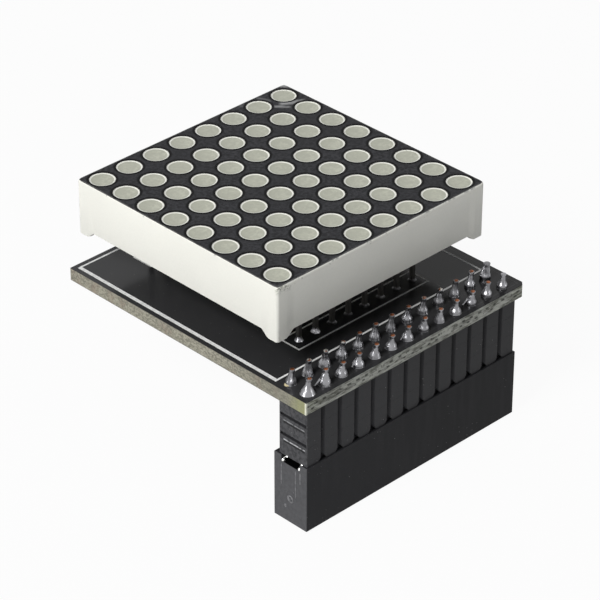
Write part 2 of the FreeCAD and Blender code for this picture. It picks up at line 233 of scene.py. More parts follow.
class Nodes:
    """The nodes of a material or of the world."""

    def __init__(self, tree):
        self.tree = tree

    def node(self, kind, settings=(), sockets=(), output=0):
        """A node of that type, its settings made first, then its sockets valued or linked."""
        node = self.tree.nodes.new(kind)
        for name, value in dict(settings).items():
            setattr(node, name, value)
        for name, value in dict(sockets).items():
            self.put(node.inputs[name], value)
        return Value(self, node.outputs[output])

    def put(self, socket, value):
        """Link a value to the socket, or set the socket to a number, colour or vector."""
        if isinstance(value, Value):
            self.tree.links.new(value.socket, socket)
        elif socket.type == "RGBA":
            socket.default_value = (*value[:3], 1)
        else:
            socket.default_value = value

    def mix(self, factor, one, other):
        sockets = {0: factor, 6: one, 7: other}
        return self.node("ShaderNodeMix", {"data_type": "RGBA"}, sockets, output=2)

    def seen(self):
        """1 for rays from the camera, straight or by way of a glossy or clear surface."""
        rays = self.node("ShaderNodeLightPath", output="Is Camera Ray")
        outputs = rays.socket.node.outputs
        for name in ("Is Glossy Ray", "Is Transmission Ray"):
            rays = rays.high(Value(self, outputs[name]))
        return rays


class Finish(Nodes):
    """A material about one Principled shader, with the place on the object to work from."""

    def __init__(self, name, **constants):
        self.material = bpy.data.materials.new(name)
        self.material.use_nodes = True
        super().__init__(self.material.node_tree)
        self.shader = self.tree.nodes["Principled BSDF"]
        self.set(**constants)
        self.point = self.node("ShaderNodeTexCoord", output="Object")

    @cached_property
    def place(self):
        """The three coordinates of the point on the object."""
        axes = self.node("ShaderNodeSeparateXYZ", (), {"Vector": self.point}).socket.node.outputs
        return [Value(self, axis) for axis in axes]

    def set(self, **sockets):
        """Values or links for the shader's sockets, whose names have _ for a space."""
        for name, value in sockets.items():
            self.put(self.shader.inputs[name.replace("_", " ")], value)

    def inward(self, axis, low, high):
        """Distance along an axis from the nearer end of a box."""
        place = self.place[axis]
        return (place - low[axis]).low(high[axis] - place)

    def noise(self, grain, detail=3.0, roughness=0.55, seed=0.0, stretch=EVEN):
        """Noise from 0 to 1 whose lumps are about as large as the grain, in metres. The seed
        moves it, and the stretch divides the lumps' size along each axis."""
        point = self.point
        if seed or stretch != EVEN:
            moved = {"Vector": point, "Scale": stretch, "Location": (seed, seed, seed)}
            point = self.node("ShaderNodeMapping", (), moved)
        sockets = {"Vector": point, "Scale": 0.5 / grain, "Detail": detail, "Roughness": roughness}
        return self.node("ShaderNodeTexNoise", (), sockets)

    def cells(self, grain):
        """Distance from the nearest of random points about a grain apart, in grains."""
        sockets = {"Vector": self.point, "Scale": 1 / grain}
        return self.node("ShaderNodeTexVoronoi", (), sockets, "Distance")

    def over(self, base, *layers):
        """The base with one tint after another laid over it by its mask."""
        for mask, tint in layers:
            base = self.mix(mask, base, tint)
        return base

    def bump(self, height, distance, strength):
        sockets = {"Strength": strength, "Distance": distance, "Height": height}
        return self.node("ShaderNodeBump", (), sockets)


# Surfaces

def grid(rows, columns, closed=False):
    """Quads of a rows x columns grid, whose point i, j is number i * columns + j. Its columns
    join round, and its rows too where it is closed."""
    i = np.arange(rows if closed else rows - 1)[:, None]
    j = np.arange(columns)[None, :]
    along, across = (i + 1) % rows, (j + 1) % columns
    quads = [i * columns + j, i * columns + across, along * columns + across, along * columns + j]
    return np.stack(np.broadcast_arrays(*quads), -1).reshape(-1, 4)


def repeated(faces, size, count):
    """The faces of one shape of so many points, for each of count copies of it."""
    return (faces[None] + (np.arange(count) * size)[:, None, None]).reshape(-1, faces.shape[1])


def outward(points, faces):
    """The quads, all turned over if the volume they enclose, the sum of the signed volumes of
    the cones from the origin to each quad, is below zero."""
    a, b, c, d = (points[faces[:, corner]] for corner in range(4))
    volume = (a * (np.cross(b, c) + np.cross(c, d))).sum()
    return faces[:, ::-1] if volume < 0 else faces


def angles(sides):
    """Even steps of the angle once round."""
    return 2 * np.pi * np.arange(sides) / sides


def turned(
    radius, height, centre, sides, lean=(0, 0), flutes=0.0, count=5, phase=0.0, closed=False,
):
    """A profile turned about an upright line: x = cx + r(t) cos a, y = cy + r(t) sin a and
    z = cz + h(t). With s for |h| over its largest, r is multiplied by
    1 + flutes sin(pi s) cos(count a + phase), and the centre moves by the lean times s^2. A
    closed profile joins its end to its start, and any other starts and ends on the line."""
    angle = angles(sides)
    radius, height = np.asarray(radius)[:, None], np.asarray(height)[:, None]
    share = np.abs(height) / np.abs(height).max()
    swell = radius * (1 + flutes * np.sin(np.pi * share) * np.cos(count * angle + phase))
    points = np.stack([
        centre[0] + lean[0] * share ** 2 + swell * np.cos(angle),
        centre[1] + lean[1] * share ** 2 + swell * np.sin(angle),
        centre[2] + height + 0 * swell,
    ], -1).reshape(-1, 3)
    return points, outward(points, grid(len(radius), sides, closed))


def tube(path, radius, sides=8):
    """A round tube: each point of the path plus r(t) (cos a s + sin a n), where s and n are
    square to the path."""
    askew = (0.3, 0.2, 1.0)  # no path here runs this way
    path, radius = np.asarray(path, float), np.asarray(radius, float)[:, None, None]
    tangent = np.gradient(path, axis=0)
    tangent /= np.linalg.norm(tangent, axis=1, keepdims=True)
    side = np.cross(tangent, askew)
    side /= np.linalg.norm(side, axis=1, keepdims=True)
    normal = np.cross(side, tangent)
    angle = angles(sides)[None, :, None]
    round_path = np.cos(angle) * side[:, None] + np.sin(angle) * normal[:, None]
    points = (path[:, None] + radius * round_path).reshape(-1, 3)
    return points, outward(points, grid(len(path), sides))


def rod(path, thick):
    """A tube of even thickness between two pointed ends."""
    return tube(path, np.concatenate([[0], np.full(len(path) - 2, thick), [0]]))


def band(x0, x1, y0, y1, width, low, high):
    """A rectangular frame: the rectangle's corners pushed out and in by half the width, each
    at both heights, so that four rectangles are joined in a closed ring."""
    corners_in_turn = np.array([(x0, y0), (x1, y0), (x1, y1), (x0, y1)], float)
    half = width / 2
    points = np.concatenate([
        np.column_stack([corners_in_turn + CORNERS * push, np.full(4, z)])
        for push, z in ((half, low), (half, high), (-half, high), (-half, low))
    ])
    return points, outward(points, grid(4, 4, closed=True))


def block(low, high):
    """A box: its two rectangles, each closed by a point in its middle."""
    low, high = np.asarray(low, float), np.asarray(high, float)
    centre, half = (low + high) / 2, (high - low) / 2
    points = np.concatenate([
        np.column_stack([centre[:2] + CORNERS * half[:2] * span, np.full(4, z)])
        for span, z in ((0, low[2]), (1, low[2]), (1, high[2]), (0, high[2]))
    ])
    return points, outward(points, grid(4, 4))


def cell_centres(pitch, count):
    """The middles of a square of cells about the origin."""
    steps = (np.arange(count) - (count - 1) / 2) * pitch
    return np.stack(np.meshgrid(steps, steps, indexing="ij"), -1).reshape(-1, 2)


def rounded_corners(points, half, radius):
    """Points in a square's corners drawn in, so that each square contour about the corner's
    inner point becomes a quarter circle: the offset q becomes q max(qx, qy) / |q|."""
    outer = np.abs(points) - (half - radius)
    inside = (outer > 0).all(-1)
    reach = np.linalg.norm(outer, axis=-1)
    scale = np.where(inside, outer.max(-1) / np.where(reach > 0, reach, 1), 1)[..., None]
    drawn = np.where(inside[..., None], (half - radius) + outer * scale, np.abs(points))
    return np.sign(points) * drawn


def pierced_plate(centre, pitch, count, half, corner, radius, rim, low, high, sides=40):
    """A square plate with a round hole in each cell. Round each hole the top is the surface
    between the cell's square, c (cos a, sin a) / max(|cos a|, |sin a|), and its circle,
    r (cos a, sin a); it goes on down the hole and back under the plate to the square."""
    circle = np.stack([np.cos(angles(sides)), np.sin(angles(sides))], -1)
    square = circle / np.abs(circle).max(-1, keepdims=True) * pitch / 2
    profile = [
        (None, high), (radius + rim * 2, high), (radius + rim, high),
        (radius + rim * 0.3, high - rim * 0.3), (radius, high - rim), (radius, low), (None, low),
    ]
    rows = np.array([
        np.column_stack([square if r is None else circle * r, np.full(sides, z)])
        for r, z in profile
    ])
    points = np.broadcast_to(rows, (count * count, *rows.shape)).copy()
    shifts = cell_centres(pitch, count)[:, None, None]
    points[..., :2] = np.clip(points[..., :2] + shifts, -half, half)
    points = points.reshape(-1, 3)
    # the last row joins the first only along the plate's own edges
    cell_faces = grid(len(profile), sides, closed=True)
    faces = repeated(cell_faces, len(profile) * sides, count * count)
    joining = np.tile(cell_faces[:, 2] < sides, count * count)
    on_edge = (np.abs(points[:, :2]) > half - WELD)[faces].all(1).any(-1)
    faces = faces[~joining | on_edge]
    points[:, :2] = centre + rounded_corners(points[:, :2], half, corner)
    return points, outward(points, faces)


def square_path(half, radius, inset, along):
    """Points round a square with rounded corners, each as L U + R V. U and V are unit-sized,
    and L and R are the straight half side and the corner radius left after the inset."""
    turn = np.linspace(0, np.pi / 2, 7)[1:-1]
    ones = np.ones_like
    sides = np.column_stack([ones(along), along, ones(along), np.zeros_like(along)])
    arcs = np.column_stack([ones(turn), ones(turn), np.cos(turn), np.sin(turn)])
    quarter = np.concatenate([sides, arcs])
    quarters = []
    for cosine, sine in ((1, 0), (0, 1), (-1, 0), (0, -1)):
        quarter_turn = np.array([[cosine, sine], [-sine, cosine]])
        quarters.append(np.hstack([quarter[:, :2] @ quarter_turn, quarter[:, 2:] @ quarter_turn]))
    u_v = np.concatenate(quarters)
    left = np.maximum(radius - inset, 0.05 * MM)
    straight = half - inset - left
    return straight[:, None, None] * u_v[None, :, :2] + left[:, None, None] * u_v[None, :, 2:]


# Pieces

def make_piece(name, finishes, parts, replaces=()):
    """One object from closed surfaces, each given as its points, faces and finish number."""
    points, faces, kinds = [], [], []
    start = 0
    for part_points, part_faces, kind in parts:
        points.append(part_points)
        for group in part_faces if isinstance(part_faces, list) else [part_faces]:
            faces += (group + start).tolist()
            kinds += [kind] * len(group)
        start += len(part_points)
    mesh = bpy.data.meshes.new(name)
    mesh.from_pydata(np.concatenate(points), [], faces)
    mesh.polygons.foreach_set("material_index", np.array(kinds, np.int32))
    weld(mesh, WELD)
    mesh.set_sharp_from_angle(angle=SHARP_ANGLE)
    into_frame(new_piece(name, mesh, finishes), replaces)


def softened(node, finish, bevel, name=None):
    """A copy of a solid, welded, with its flat faces whole and its edges rounded."""
    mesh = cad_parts[node].data.copy()
    mesh.materials.clear()
    weld(mesh, SOLID_WELD, flatten=True)
    mesh.polygons.foreach_set("material_index", np.zeros(len(mesh.polygons), np.int32))
    piece = new_piece(name or f"{node}_piece", mesh, [finish])
    edges = piece.modifiers.new("Edges", "BEVEL")
    edges.width = bevel
    edges.segments = 2
    edges.limit_method = "ANGLE"
    edges.angle_limit = BEVEL_ANGLE
    flat = piece.modifiers.new("Flat faces", "WEIGHTED_NORMAL")
    flat.weight = 100
    bpy.context.view_layer.update()
    rounded = piece.evaluated_get(bpy.context.evaluated_depsgraph_get())
    piece.data = bpy.data.meshes.new_from_object(rounded)
    piece.modifiers.clear()
    into_frame(piece, [node])


def weld(mesh, distance, flatten=False):
    """Merge a mesh's doubled points, and its triangles into flat faces where asked, and shade
    it smooth."""
    work = bmesh.new()
    work.from_mesh(mesh)
    bmesh.ops.remove_doubles(work, verts=work.verts, dist=distance)
    if flatten:
        bmesh.ops.dissolve_limit(
            work, angle_limit=FLAT_ANGLE, verts=work.verts, edges=work.edges,
        )
    work.to_mesh(mesh)
    work.free()
    mesh.shade_smooth()


def new_piece(name, mesh, finishes):
    """An object of that mesh in the scene, with its finishes."""
    for finish in finishes:
        mesh.materials.append(finish.material)
    piece = bpy.data.objects.new(name, mesh)
    bpy.context.scene.collection.objects.link(piece)
    return piece


def into_frame(piece, replaces):
    """Parent the piece to its body's empty, and hide the solids that it replaces."""
    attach(piece, BODY)
    if replaces:
        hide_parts(*replaces)


def dress(node, finish):
    """Give a solid of the frame its finish."""
    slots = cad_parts[node].data.materials
    slots.clear()
    slots.append(finish.material)


def corners(node):
    """A solid's lowest and highest corner, as arrays."""
    low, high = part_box(node)
    return np.array(low), np.array(high)


def pin_places(node):
    """Where a row's pins stand: evenly along X about the middle of the solid."""
    low, high = corners(node)
    count = DISPLAY_PINS if "display" in node else HEADER_PINS
    middle = (low + high) / 2
    return [(middle[0] + (k - (count - 1) / 2) * PIN_PITCH, middle[1]) for k in range(count)]


# Finishes

def plastic_finish(name, tint):
    """Cream moulded plastic: faint flow lines, and grime and chips along the upper edges."""
    finish = Finish(name, Specular_IOR_Level=0.35)
    x, y, z = finish.place
    low, high = corners("display_case")
    cloud = finish.noise(6 * MM, detail=2)
    grain = finish.noise(0.12 * MM, detail=2)
    # grime sits along the top of the wall that faces the socket
    depth = high[2] - z
    front = (y - low[1]).step(0.5 * MM, 0.1 * MM)
    left = (x - low[0]).step(0.5 * MM, 0.1 * MM)
    patch = finish.noise(0.5 * MM, 4, 0.65, 0.31, (1, 1, 1.4))
    fine = finish.noise(0.14 * MM, 3, 0.6, 0.77)
    near_corner = (x - low[0]).step(4.5 * MM, 0.2 * MM)
    grime = depth.step(1.3 * MM, 0.0) * front * (patch - 0.12 + near_corner * 0.14).step(0.5, 0.58)
    grime = grime * fine.step(0.42, 0.55)
    edge_line = depth.step(0.3 * MM, 0.12 * MM) * (left + front).low(1)
    worn = edge_line * finish.noise(0.9 * MM, 4, 0.65, 0.11, (1, 1, 0.4)).step(0.56, 0.66)
    finish.set(
        Base_Color=finish.over(
            finish.mix(cloud.step(0.35, 0.7), shade(tint, 0.965), tint),
            (grain.step(0.3, 0.8) * 0.12, shade(tint, 0.8)),
            (grime * 0.85, srgb(112, 114, 96)),
            (worn * 0.7, WORN),
        ),
        Roughness=0.38 + cloud * 0.1 + grime * 0.3,
        Normal=finish.bump(grain + patch * grime * 3, 0.006 * MM, 0.5),
    )
    return finish


def cell_offsets(finish, settings):
    """How far a point is from the middle of its cell, along X and along Y."""
    low, high = corners("display_case")
    x, y = finish.place[:2]
    between = (low + high) / 2 + settings.pitch / 2
    return x.offset(settings.pitch, between[0]), y.offset(settings.pitch, between[1])


# in millimetres from the face's far corner: each painted reflection streak's middle across and down
# the diagonal, its slope, its reach, its thickness, and its strength from 0 to 1
GLARE_STREAKS = (
    (0.4, 7.9, -0.03, 1.9, 0.42, 0.7),
    (-1.4, 6.35, 0.22, 2.4, 0.8, 1.0),
    (3.2, 5.6, -0.5, 1.4, 0.6, 0.3),
    (0, 0.3, 0, 1.4, 1.1, 1.0),
    (6.4, 7.6, 0, 1.0, 0.6, 0.3),
)


def streak(across, down, middle_across, middle_down, slope, reach, thick, strength):
    """A painted reflection streak: full along its sloping middle line, and faded at its sides and
    ends.
    """
    along = across - middle_across * MM
    off = abs(down - middle_down * MM - along * slope).step(thick * 1.25 * MM, thick * 0.3 * MM)
    return off * abs(along).step(reach * MM, reach * 0.6 * MM) * strength


def ink_finish(name, tint, settings):
    """Matte printed face: nearly black in a ring round each cell, rubbed at its rim, and with a
    painted reflection laid in streak shapes about the cell in the corner farthest from the
    socket's first pin."""
    finish = Finish(name, Specular_IOR_Level=0.05)
    x, y = finish.place[:2]
    low, high = corners("display_case")
    dx, dy = cell_offsets(finish, settings)
    ring = ((dx * dx + dy * dy) ** 0.5 - settings.cell_radius).step(0.4 * MM, 0.2 * MM)
    grain = finish.noise(0.2 * MM, 4, 0.7)
    cloud = finish.noise(5 * MM, detail=2)
    dust = finish.cells(0.45 * MM).step(0.1, 0.04) * finish.noise(3 * MM).step(0.5, 0.6)
    # noise for the rubbed wear, and for the shape of the painted reflection streaks
    rub_and_glare = finish.noise(0.7 * MM, 4, 0.65, 0.4)
    rim = finish.inward(0, low, high).low(finish.inward(1, low, high))
    rubbed = (rim + (rub_and_glare - 0.5) * (0.55 * MM)).step(0.22 * MM, 0.1 * MM)
    corner = ((x - low[0]) + (y - low[1])).step(3.4 * MM, 1.2 * MM)
    scuffed = corner * rub_and_glare.step(0.45, 0.62) * rim.step(1.1 * MM, 0.2 * MM)
    from_right, from_back = high[0] - x, high[1] - y
    across, down = from_right - from_back, from_right + from_back + (rub_and_glare - 0.5) * (0.7 * MM)
    # painted reflection: streaks of glare near the face's far corner, laid into the ink's colour
    glare = sum(streak(across, down, *each) for each in GLARE_STREAKS)
    glare = glare * (rub_and_glare.step(0.3, 0.6) * 0.5 + 0.5) * (1 - ring)
    finish.set(
        Base_Color=finish.over(
            finish.mix(grain.step(0.36, 0.64), shade(tint, 0.62), shade(tint, 1.5)),
            (cloud.step(0.3, 0.7) * 0.5, shade(tint, 0.86)),
            (ring * 0.95, shade(tint, 0.02)),
            ((rubbed * 0.5 + scuffed * 0.55).low(0.85), WORN),
            (dust * 0.5, shade(tint, 2.0)),
            (glare.low(1), srgb(166, 166, 166)),
        ),
        Roughness=0.5 + grain * 0.14 - ring * 0.1 - glare * 0.1,
        Normal=finish.bump(grain + dust * 2, 0.006 * MM, 0.45),
    )
    return finish


def cell_finish(name, tint, settings):
    """Clouded resin over the die's reflector, with painted shade: each cell lighter towards one
    side, and a painted shadow ring just inside its rim, which is brighter.
    """
    finish = Finish(name, Specular_IOR_Level=0.4)
    dx, dy = cell_offsets(finish, settings)
    away = (dx * dx + dy * dy) ** 0.5
    # painted shade: each cell lighter towards one side, as if lit from there
    slope = (dx - dy).step(-1.9 * MM, 1.9 * MM)
    rim = away.step(1.26 * MM, 1.34 * MM)
    shadow = abs(away - 1.16 * MM).step(0.16 * MM, 0.04 * MM)
    cloud = finish.noise(0.5 * MM, 4, 0.6, 0.37)
    grain = finish.noise(0.22 * MM, 4, 0.7)
    finish.set(
        Base_Color=finish.over(
            finish.mix(slope, shade(tint, 0.9), shade(tint, 1.08)),
            (cloud.step(0.4, 0.6) * 0.7, shade(tint, 0.84)),
            (shadow * 0.35, shade(tint, 0.8)),
            (grain.step(0.42, 0.6) * 0.6, shade(tint, 0.8)),
            (rim * 0.95, srgb(250, 250, 240)),
        ),
        Roughness=0.36 + grain * 0.12,
        Normal=finish.bump(grain, 0.004 * MM, 0.4),
    )
    return finish


def laminate_finish(name):
    """The die board's woven glass."""
    finish = Finish(name, Roughness=0.5)
    weave = finish.noise(0.3 * MM, 3, 0.6, 0.2, (1, 1, 3))
    finish.set(
        Base_Color=finish.mix(weave.step(0.3, 0.7), srgb(196, 190, 150), srgb(172, 160, 112)),
        Normal=finish.bump(weave, 0.02 * MM, 0.5),
    )
    return finish


def sealant_finish(name):
    """Poured resin: almost flat, with slow waves, faint fibres below and a few bubbles."""
    finish = Finish(name)
    wave = finish.noise(5 * MM, detail=2)
    fibre = finish.noise(0.4 * MM, 4, 0.6, 0.6, (1, 0.4, 1))
    bubble = finish.cells(2.4 * MM).step(0.09, 0.05)
    finish.set(
        Base_Color=finish.over(
            finish.mix(fibre.step(0.3, 0.7), srgb(188, 187, 168), srgb(168, 168, 150)),
            (wave.step(0.3, 0.7) * 0.4, srgb(150, 152, 138)),
            (bubble * 0.5, srgb(222, 222, 210)),
        ),
        Roughness=0.16 + fibre * 0.12,
        Normal=finish.bump(wave * 6 + bubble, 0.03 * MM, 0.5),
    )
    return finish


def board_finish(name, settings):
    """Black solder mask over woven laminate, whose sawn edges show speckled glass. The mask has
    painted sheen, lighter towards its left end, and painted shade, darker towards its right end.
    """
    finish = Finish(name, Specular_IOR_Level=0.15)
    x = finish.place[0]
    low, high = corners("carrier_board")
    inset = finish.inward(0, low, high).low(finish.inward(1, low, high))
    side = inset.step(0.07 * MM, 0.03 * MM)
    side = side * finish.inward(2, low, high).step(0.03 * MM, 0.06 * MM)
    cloud = finish.noise(4 * MM, detail=2)
    pour = abs(inset - 0.62 * MM).step(0.07 * MM, 0.02 * MM)
    dust = finish.cells(0.8 * MM).step(0.07, 0.03)
    mask = finish.over(
        finish.mix(cloud.step(0.3, 0.7), settings.mask, shade(settings.mask, 1.25)),
        # painted sheen: the mask lighter towards the left end; painted shade: darker towards the
        # right end
        (x.step(low[0] + 9 * MM, low[0]) * 0.5, shade(settings.mask, 2.0)),
        (x.step(high[0] - 14 * MM, high[0] - 4 * MM) * 0.75, shade(settings.mask, 0.3)),
        (pour * 0.55, srgb(58, 58, 60)),
        (dust * 0.35, srgb(120, 120, 118)),
    )
    laminate, rough = sawn_edge(finish, settings.laminate, low, high)
    finish.set(
        Base_Color=finish.mix(side, mask, laminate),
        Roughness=side * 0.62 + 0.13 + (1 - side) * cloud * 0.06,
        Normal=finish.bump(side * rough * 4 + (1 - side) * (pour * 0.5 + dust), 0.01 * MM, 0.8),
    )
    return finish


def sawn_edge(finish, tint, low, high):
    """The board's cut edges, as colour and roughness: speckled glass, olive at the front
    corners, along the snapped front edge pale fibres with two rows of dark dashes, and a
    painted highlight down the near corner's upright edge."""
    x, y, z = finish.place
    from_left, from_front = x - low[0], y - low[1]
    glass = finish.noise(0.16 * MM, 4, 0.65, 0.2, (1, 1, 1.6))
    lumps = finish.noise(0.8 * MM, 3, 0.6, 0.6, (1, 1, 0.7))
    near = (from_left + from_front).step(3.2 * MM, 0.8 * MM)
    far = ((high[0] - x) + from_front).step(3.0 * MM, 0.9 * MM)
    olive = (near + far).low(1) * (lumps.step(0.35, 0.6) * 0.35 + 0.25)

    front = from_front.step(0.09 * MM, 0.04 * MM)
    level = (z - low[2]) / (high[2] - low[2])
    dash_pitch = 1.27 * MM
    slant = x + level * (0.5 * MM) + (lumps - 0.5) * (0.6 * MM)
    upper = abs(slant.offset(dash_pitch, 0.3 * MM)).step(0.34 * MM, 0.16 * MM)
    upper = upper * abs(level - 0.64).step(0.12, 0.05)
    lower = abs(slant.offset(dash_pitch, 0.93 * MM)).step(0.3 * MM, 0.12 * MM)
    lower = lower * abs(level - 0.36).step(0.1, 0.04)
    ragged = finish.noise(0.5 * MM, 3, 0.6, 0.9).step(0.38, 0.52)
    dashes = front * (upper + lower).low(1) * ragged
    fibre = finish.noise(0.2 * MM, 4, 0.65, 0.8, (0.28, 1, 1.5))
    snapped = finish.mix(fibre.step(0.34, 0.64), srgb(96, 98, 92), srgb(206, 208, 200))
    # painted highlight down the board's near upright corner
    corner_highlight = (from_left + from_front).step(0.3 * MM, 0.1 * MM)
    laminate = finish.over(
        finish.mix(glass.step(0.38, 0.62), shade(tint, 0.62), shade(tint, 1.22)),
        (lumps.step(0.5, 0.72) * 0.4, srgb(132, 112, 100)),
        (from_front.step(14 * MM, 4 * MM) * 0.5, shade(tint, 0.6)),
        (olive, srgb(158, 160, 112)),
        (front * 0.8, snapped),
        (dashes * 0.8, srgb(50, 50, 47)),
        (corner_highlight * 0.7, srgb(244, 244, 226)),
    )
    return laminate, glass + lumps * 0.6 - dashes * 1.4


def legend_finish(name, tint):
    """Screen-printed ink: matte, slightly patchy, and darker towards the board's right end."""
    finish = Finish(name, Specular_IOR_Level=0.3)
    x = finish.place[0]
    low, high = corners("carrier_board")
    patch = finish.noise(0.25 * MM, 4, 0.6)
    toward_right = x.step(low[0] + 6 * MM, high[0] - 4 * MM)
    finish.set(
        Base_Color=finish.over(
            finish.mix(patch.step(0.35, 0.6), shade(tint, 0.8), tint),
            (toward_right * 0.75, shade(tint, 0.4)),
        ),
        Roughness=0.55 + patch * 0.2,
        Normal=finish.bump(patch, 0.01 * MM, 0.5),
    )
    return finish


def metal_finish(name, tint, roughness, grain, tarnish, stretch=EVEN, smeared=None):
    """Solder or plated metal: bright, with tarnished patches and fine ripples, and patches of a
    second metal smeared over it."""
    finish = Finish(name, Metallic=1.0)
    ripple = finish.noise(grain, 3, 0.5, 0.3, stretch)
    patch = finish.noise(grain * 3, 3, 0.6, 0.7, stretch)
    base = finish.mix(patch.step(0.35, 0.7) * tarnish, tint, shade(tint, 0.42))
    if smeared is not None:
        smear = finish.noise(0.3 * MM, 2, 0.5, 1.3)
        base = finish.mix(smear.step(0.5, 0.58), base, smeared)
    finish.set(
        Base_Color=base,
        Roughness=roughness + patch.step(0.3, 0.75) * 0.2,
        Normal=finish.bump(ripple, grain * 0.12, 0.5),
    )
    return finish


def black_finish(
    name, tint, box, lit_end_tint, roughness=0.5, flow=0.0, broken=1.0, gloss=0.18, ridges=(),
    channel=None,
):
    """Black moulded plastic: fine grain on its sides, painted shade darker towards the +X end,
    and paler ends, coarser where broken and partly painted light from the lamp on the left.
    Each ridge is a height and a strength: there a painted highlight lies on the broken lower
    edge of a slot in the ends, with a painted shadow below it. The channel is half the width
    of a groove along the top that is painted near black as shade."""
    finish = Finish(name, Specular_IOR_Level=gloss)
    x, y, z = finish.place
    low, high = box
    grain = finish.noise(0.07 * MM, 3, 0.6)
    cloud = finish.noise(3 * MM, detail=2)
    lines = finish.noise(0.5 * MM, 2, 0.5, 0.4, (1, 1, 0.12))
    speck = finish.cells(0.55 * MM).step(0.11, 0.05) * finish.noise(1.6 * MM).step(0.5, 0.62)
    from_end = finish.inward(0, low, high)
    end = from_end.step(0.1 * MM, 0.05 * MM)
    coarse = finish.noise(0.22 * MM, 4, 0.7, 0.5)
    layers = [
        (cloud.step(0.3, 0.7) * 0.4, shade(tint, 0.8)),
        # painted shade: darker towards the +X end
        (x.step(low[0] + 3 * MM, high[0] - 8 * MM) * 0.6, shade(tint, 0.4)),
        (lines.step(0.4, 0.7) * flow, shade(tint, 1.4)),
        # paler ends: coarse where broken, and partly painted light of the lamp on the left
        (end * (1 - broken + coarse.step(0.36, 0.62) * broken), lit_end_tint),
        (speck * 0.7, srgb(150, 150, 150)),
    ]
    # painted highlight at each slot's lower edge, with a painted shadow below it
    for ridge, strength in ridges:
        slot = from_end.step(0.6 * MM, 0.5 * MM)
        slot = slot * abs(y + 0.35 * MM).step(1.75 * MM, 1.5 * MM)
        below = slot * abs(z - ridge + 0.22 * MM).step(0.16 * MM, 0.1 * MM)
        lit = slot * abs(z - ridge).step(0.1 * MM, 0.05 * MM) * coarse.step(0.34, 0.56)
        layers += [(below * 0.85, srgb(16, 16, 17)), (lit * strength, srgb(196, 196, 198))]
    if channel is not None:
        # painted shadow: the groove along the top painted near black
        channel_shadow = abs(y).step(channel, channel - 0.05 * MM)
        channel_shadow = channel_shadow * (z - high[2] + 0.8 * MM).step(0, 0.03 * MM)
        layers.append((channel_shadow, srgb(8, 8, 9)))
    finish.set(
        Base_Color=finish.over(
            finish.mix(grain.step(0.3, 0.7), shade(tint, 0.86), shade(tint, 1.16)), *layers,
        ),
        Roughness=roughness + grain * 0.12 - cloud * 0.08 + end * 0.08,
        Normal=finish.bump(grain + end * coarse * (6 * broken) + speck * 2, 0.008 * MM, 0.6),
    )
    return finish


def capped_finish(node, tint):
    """A small part's ceramic body between two soldered caps."""
    finish = Finish(f"{node}_body")
    cap = finish.inward(0, *corners(node)).step(0.42 * MM, 0.38 * MM)
    grain = finish.noise(0.08 * MM)
    body = finish.mix(grain, shade(tint, 0.85), shade(tint, 1.15))
    finish.set(
        Base_Color=finish.mix(cap, body, srgb(190, 190, 192)),
        Metallic=cap,
        Roughness=0.42 - cap * 0.1 + grain * 0.1,
        Normal=finish.bump(grain, 0.01 * MM, 0.4),
    )
    return finish


# Operators

class CaseOperator(bpy.types.Operator):
    """Make the display's moulded case and its printed face."""

    bl_idname = "dot_matrix.case"
    bl_label = "Display case"

    def execute(self, context):
        settings = context.scene.dot_display
        plastic = plastic_finish("case_plastic", tuple(settings.plastic))
        ink = ink_finish("face_ink", tuple(settings.ink), settings)
        low, high = corners("display_case")
        centre, half = (low + high)[:2] / 2, (high - low)[0] / 2
        face, print_depth = 0.4 * MM, 0.045 * MM
        moulding_top = high[2] - print_depth
        lip_radius = settings.cell_radius - settings.lip
        plate = pierced_plate(
            centre, settings.pitch, settings.cells, half - settings.wall, 0.05 * MM,
            lip_radius, 0.03 * MM, high[2] - face, moulding_top,
        )
        film = pierced_plate(
            centre, settings.pitch, settings.cells, half - 0.1 * MM, 0.3 * MM,
            settings.cell_radius, 0.015 * MM, moulding_top - 0.03 * MM, high[2],
        )
        walls = self.walls(centre, half, low[2], moulding_top, settings)
        make_piece(
            "display_shell", [plastic, ink],
            [(*walls, 0), (*plate, 0), (*film, 1)], ["display_case"],
        )
        return {"FINISHED"}

    def walls(self, centre, half, floor, top, settings):
        """Four walls as one ring: a closed section carried round a rounded square. Between
        the feet its lower edge is raised by f (c + c^2 (3 - 2 c)) / 2, where f is the foot's
        height, c = (w - a) / b held between 0 and 1, w is the distance from the corner, a is
        the foot's width and b its slope's."""
        corner, soft = 0.35 * MM, 0.08 * MM
        foot_height, foot_width, foot_slope = 0.8 * MM, 1.4 * MM, 1.1 * MM
        edge, wall = settings.edge, settings.wall
        near = np.linspace(0, 4.0 * MM, 41) / (half - corner)
        along = np.unique(np.concatenate([near - 1, np.linspace(-0.7, 0.7, 29), 1 - near]))
        turn = np.linspace(0, np.pi / 2, 5)
        inset = np.concatenate([
            [soft * 0.3, 0], edge * (1 - np.cos(turn)), [wall, wall, wall - soft, soft],
        ])
        height = np.concatenate([
            [soft * 0.3, soft], (top - edge) + edge * np.sin(turn), [top, soft, 0, 0],
        ])
        upper = np.array([0, 0, 1, 1, 1, 1, 1, 1, 0, 0, 0])[:, None]
        path = square_path(half, corner, inset, along)
        outer = square_path(half, corner, np.zeros(1), along)[0]
        reach = half - np.abs(outer).min(-1)
        climb = np.clip((reach - foot_width) / foot_slope, 0, 1)
        foot = foot_height * (climb + climb * climb * (3 - 2 * climb)) / 2
        z = np.where(upper, height[:, None], floor + foot[None] + height[:, None])
        points = np.dstack([path + centre, z]).reshape(-1, 3)
        return points, outward(points, grid(len(inset), len(outer), closed=True))


